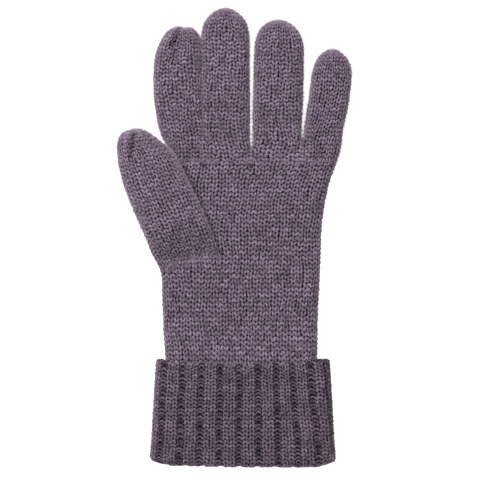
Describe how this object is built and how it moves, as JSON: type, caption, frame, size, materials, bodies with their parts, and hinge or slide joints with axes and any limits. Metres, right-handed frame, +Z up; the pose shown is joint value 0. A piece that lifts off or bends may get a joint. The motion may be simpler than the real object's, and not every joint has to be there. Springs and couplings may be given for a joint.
{
  "type": "knitted glove",
  "caption": "Left-hand knitted wool glove lying flat, palm up, with gathered fingertips, a folded-over thumb and a deep ribbed cuff turned up at the wrist.",
  "frame": {"origin": "centre of the glove's outline in plan, on the surface that it lies on", "axes": "+Y from the cuff to the fingertips, +X towards the little finger, +Z up from the surface, out of the palm"},
  "size_m": [0.1283, 0.252, 0.0195],
  "materials": {
    "plain_knit": "matte",
    "rib_knit": "matte",
    "edge_knit": "matte"
  },
  "bodies": {
    "hand": {"palm": "plain_knit", "back_of_hand": "plain_knit", "wrist_rib": "rib_knit", "thumb_opening_rim": "edge_knit", "index_middle_crotch": "edge_knit", "middle_ring_crotch": "edge_knit", "ring_little_crotch": "edge_knit"},
    "index_lower": {"index_lower": "plain_knit"},
    "index_upper": {"index_upper": "plain_knit", "index_tip": "edge_knit"},
    "middle_lower": {"middle_lower": "plain_knit"},
    "middle_upper": {"middle_upper": "plain_knit", "middle_tip": "edge_knit"},
    "ring_lower": {"ring_lower": "plain_knit"},
    "ring_upper": {"ring_upper": "plain_knit", "ring_tip": "edge_knit"},
    "little_lower": {"little_lower": "plain_knit"},
    "little_upper": {"little_upper": "plain_knit", "little_tip": "edge_knit"},
    "thumb_lower": {"thumb_lower": "plain_knit"},
    "thumb_upper": {"thumb_upper": "plain_knit", "thumb_tip": "edge_knit"},
    "cuff": {"cuff_turn_up": "rib_knit", "cuff_fold": "rib_knit", "cuff_edge": "edge_knit"}
  },
  "joints": [
    {"name": "index_base_fold", "type": "hinge", "parent": "hand", "child": "index_lower", "pos_m": [-0.0297, 0.0585, 0.0098], "axis": [1, 0, 0], "range_deg": [0, 90]},
    {"name": "index_middle_fold", "type": "hinge", "parent": "index_lower", "child": "index_upper", "pos_m": [-0.03168, 0.08349, 0.0098], "axis": [1, 0, 0], "range_deg": [0, 95]},
    {"name": "middle_base_fold", "type": "hinge", "parent": "hand", "child": "middle_lower", "pos_m": [-0.0046, 0.0585, 0.0098], "axis": [1, 0, 0], "range_deg": [0, 90]},
    {"name": "middle_middle_fold", "type": "hinge", "parent": "middle_lower", "child": "middle_upper", "pos_m": [-0.00499, 0.08693, 0.0098], "axis": [1, 0, 0], "range_deg": [0, 95]},
    {"name": "ring_base_fold", "type": "hinge", "parent": "hand", "child": "ring_lower", "pos_m": [0.023, 0.0585, 0.0098], "axis": [1, 0, 0], "range_deg": [0, 90]},
    {"name": "ring_middle_fold", "type": "hinge", "parent": "ring_lower", "child": "ring_upper", "pos_m": [0.02378, 0.0845, 0.0098], "axis": [1, 0, 0], "range_deg": [0, 95]},
    {"name": "little_base_fold", "type": "hinge", "parent": "hand", "child": "little_lower", "pos_m": [0.0482, 0.0585, 0.0098], "axis": [1, 0, 0], "range_deg": [0, 90]},
    {"name": "little_middle_fold", "type": "hinge", "parent": "little_lower", "child": "little_upper", "pos_m": [0.05174, 0.07769, 0.0098], "axis": [1, 0, 0], "range_deg": [0, 95]},
    {"name": "thumb_lift", "type": "hinge", "parent": "hand", "child": "thumb_lower", "pos_m": [-0.0245, -0.013, 0.0101], "axis": [0.9799, 0.1994, 0], "range_deg": [0, 85]},
    {"name": "thumb_middle_fold", "type": "hinge", "parent": "thumb_lower", "child": "thumb_upper", "pos_m": [-0.03726, 0.01741, 0.0195], "axis": [0.9799, 0.1994, 0], "range_deg": [0, 80]},
    {"name": "cuff_turn_down", "type": "slide", "parent": "hand", "child": "cuff", "axis": [0, -1, 0], "range_m": [0, 0.048]}
  ]
}
